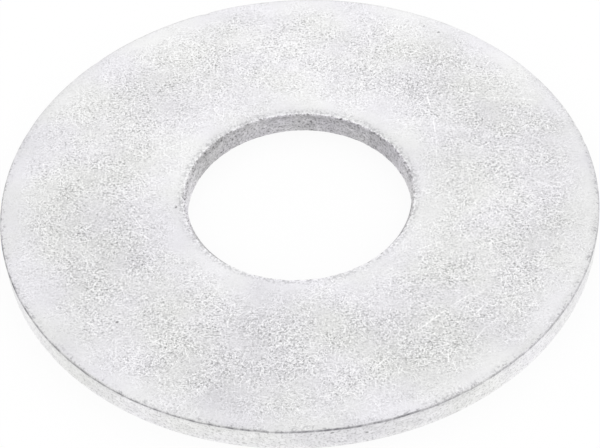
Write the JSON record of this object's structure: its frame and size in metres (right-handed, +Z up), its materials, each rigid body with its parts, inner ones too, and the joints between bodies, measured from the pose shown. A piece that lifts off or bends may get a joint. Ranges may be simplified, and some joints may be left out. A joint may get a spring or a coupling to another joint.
{
  "type": "flat washer",
  "caption": "Large-diameter flat washer: a thin round zinc-plated steel ring with a central bolt hole.",
  "frame": {"origin": "centre of the bore on the lower face, the side with the burr", "axes": "+Z up along the bore's axis, towards the upper face, which has the rolled edges; +X and +Y are arbitrary in the plane of the ring"},
  "size_m": [0.035, 0.035, 0.0016],
  "materials": {
    "zinc_plate": "bright zinc electroplate on steel, tumbled, pale and matt"
  },
  "bodies": {
    "root": {"flat_washer": "zinc_plate"}
  },
  "joints": []
}
